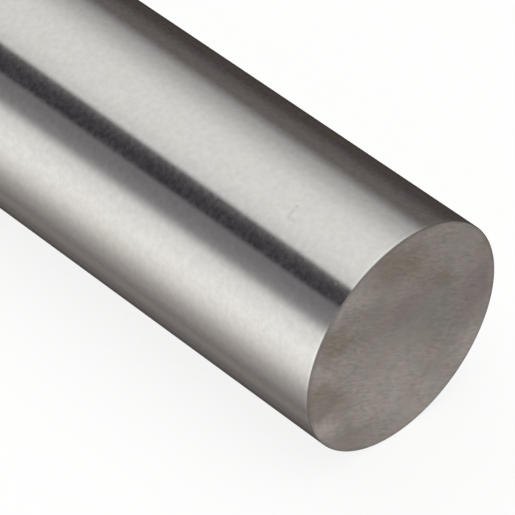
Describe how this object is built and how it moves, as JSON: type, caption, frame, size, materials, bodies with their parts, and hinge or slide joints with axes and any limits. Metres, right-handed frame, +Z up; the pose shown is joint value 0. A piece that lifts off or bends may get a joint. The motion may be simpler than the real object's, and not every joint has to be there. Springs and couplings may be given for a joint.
{
  "type": "ground shaft",
  "caption": "Short length of solid round steel bar, ground to a true diameter, with flat sawn ends and lightly broken rims.",
  "frame": {"origin": "on the shaft's axis, midway between its two sawn ends", "axes": "+X along the shaft's axis, +Z up, with the shaft lying on its side and the floor one radius below the origin"},
  "size_m": [0.3, 0.05, 0.05],
  "materials": {
    "ground_steel": "satin"
  },
  "bodies": {
    "root": {"ground_shaft": "ground_steel"}
  },
  "joints": []
}
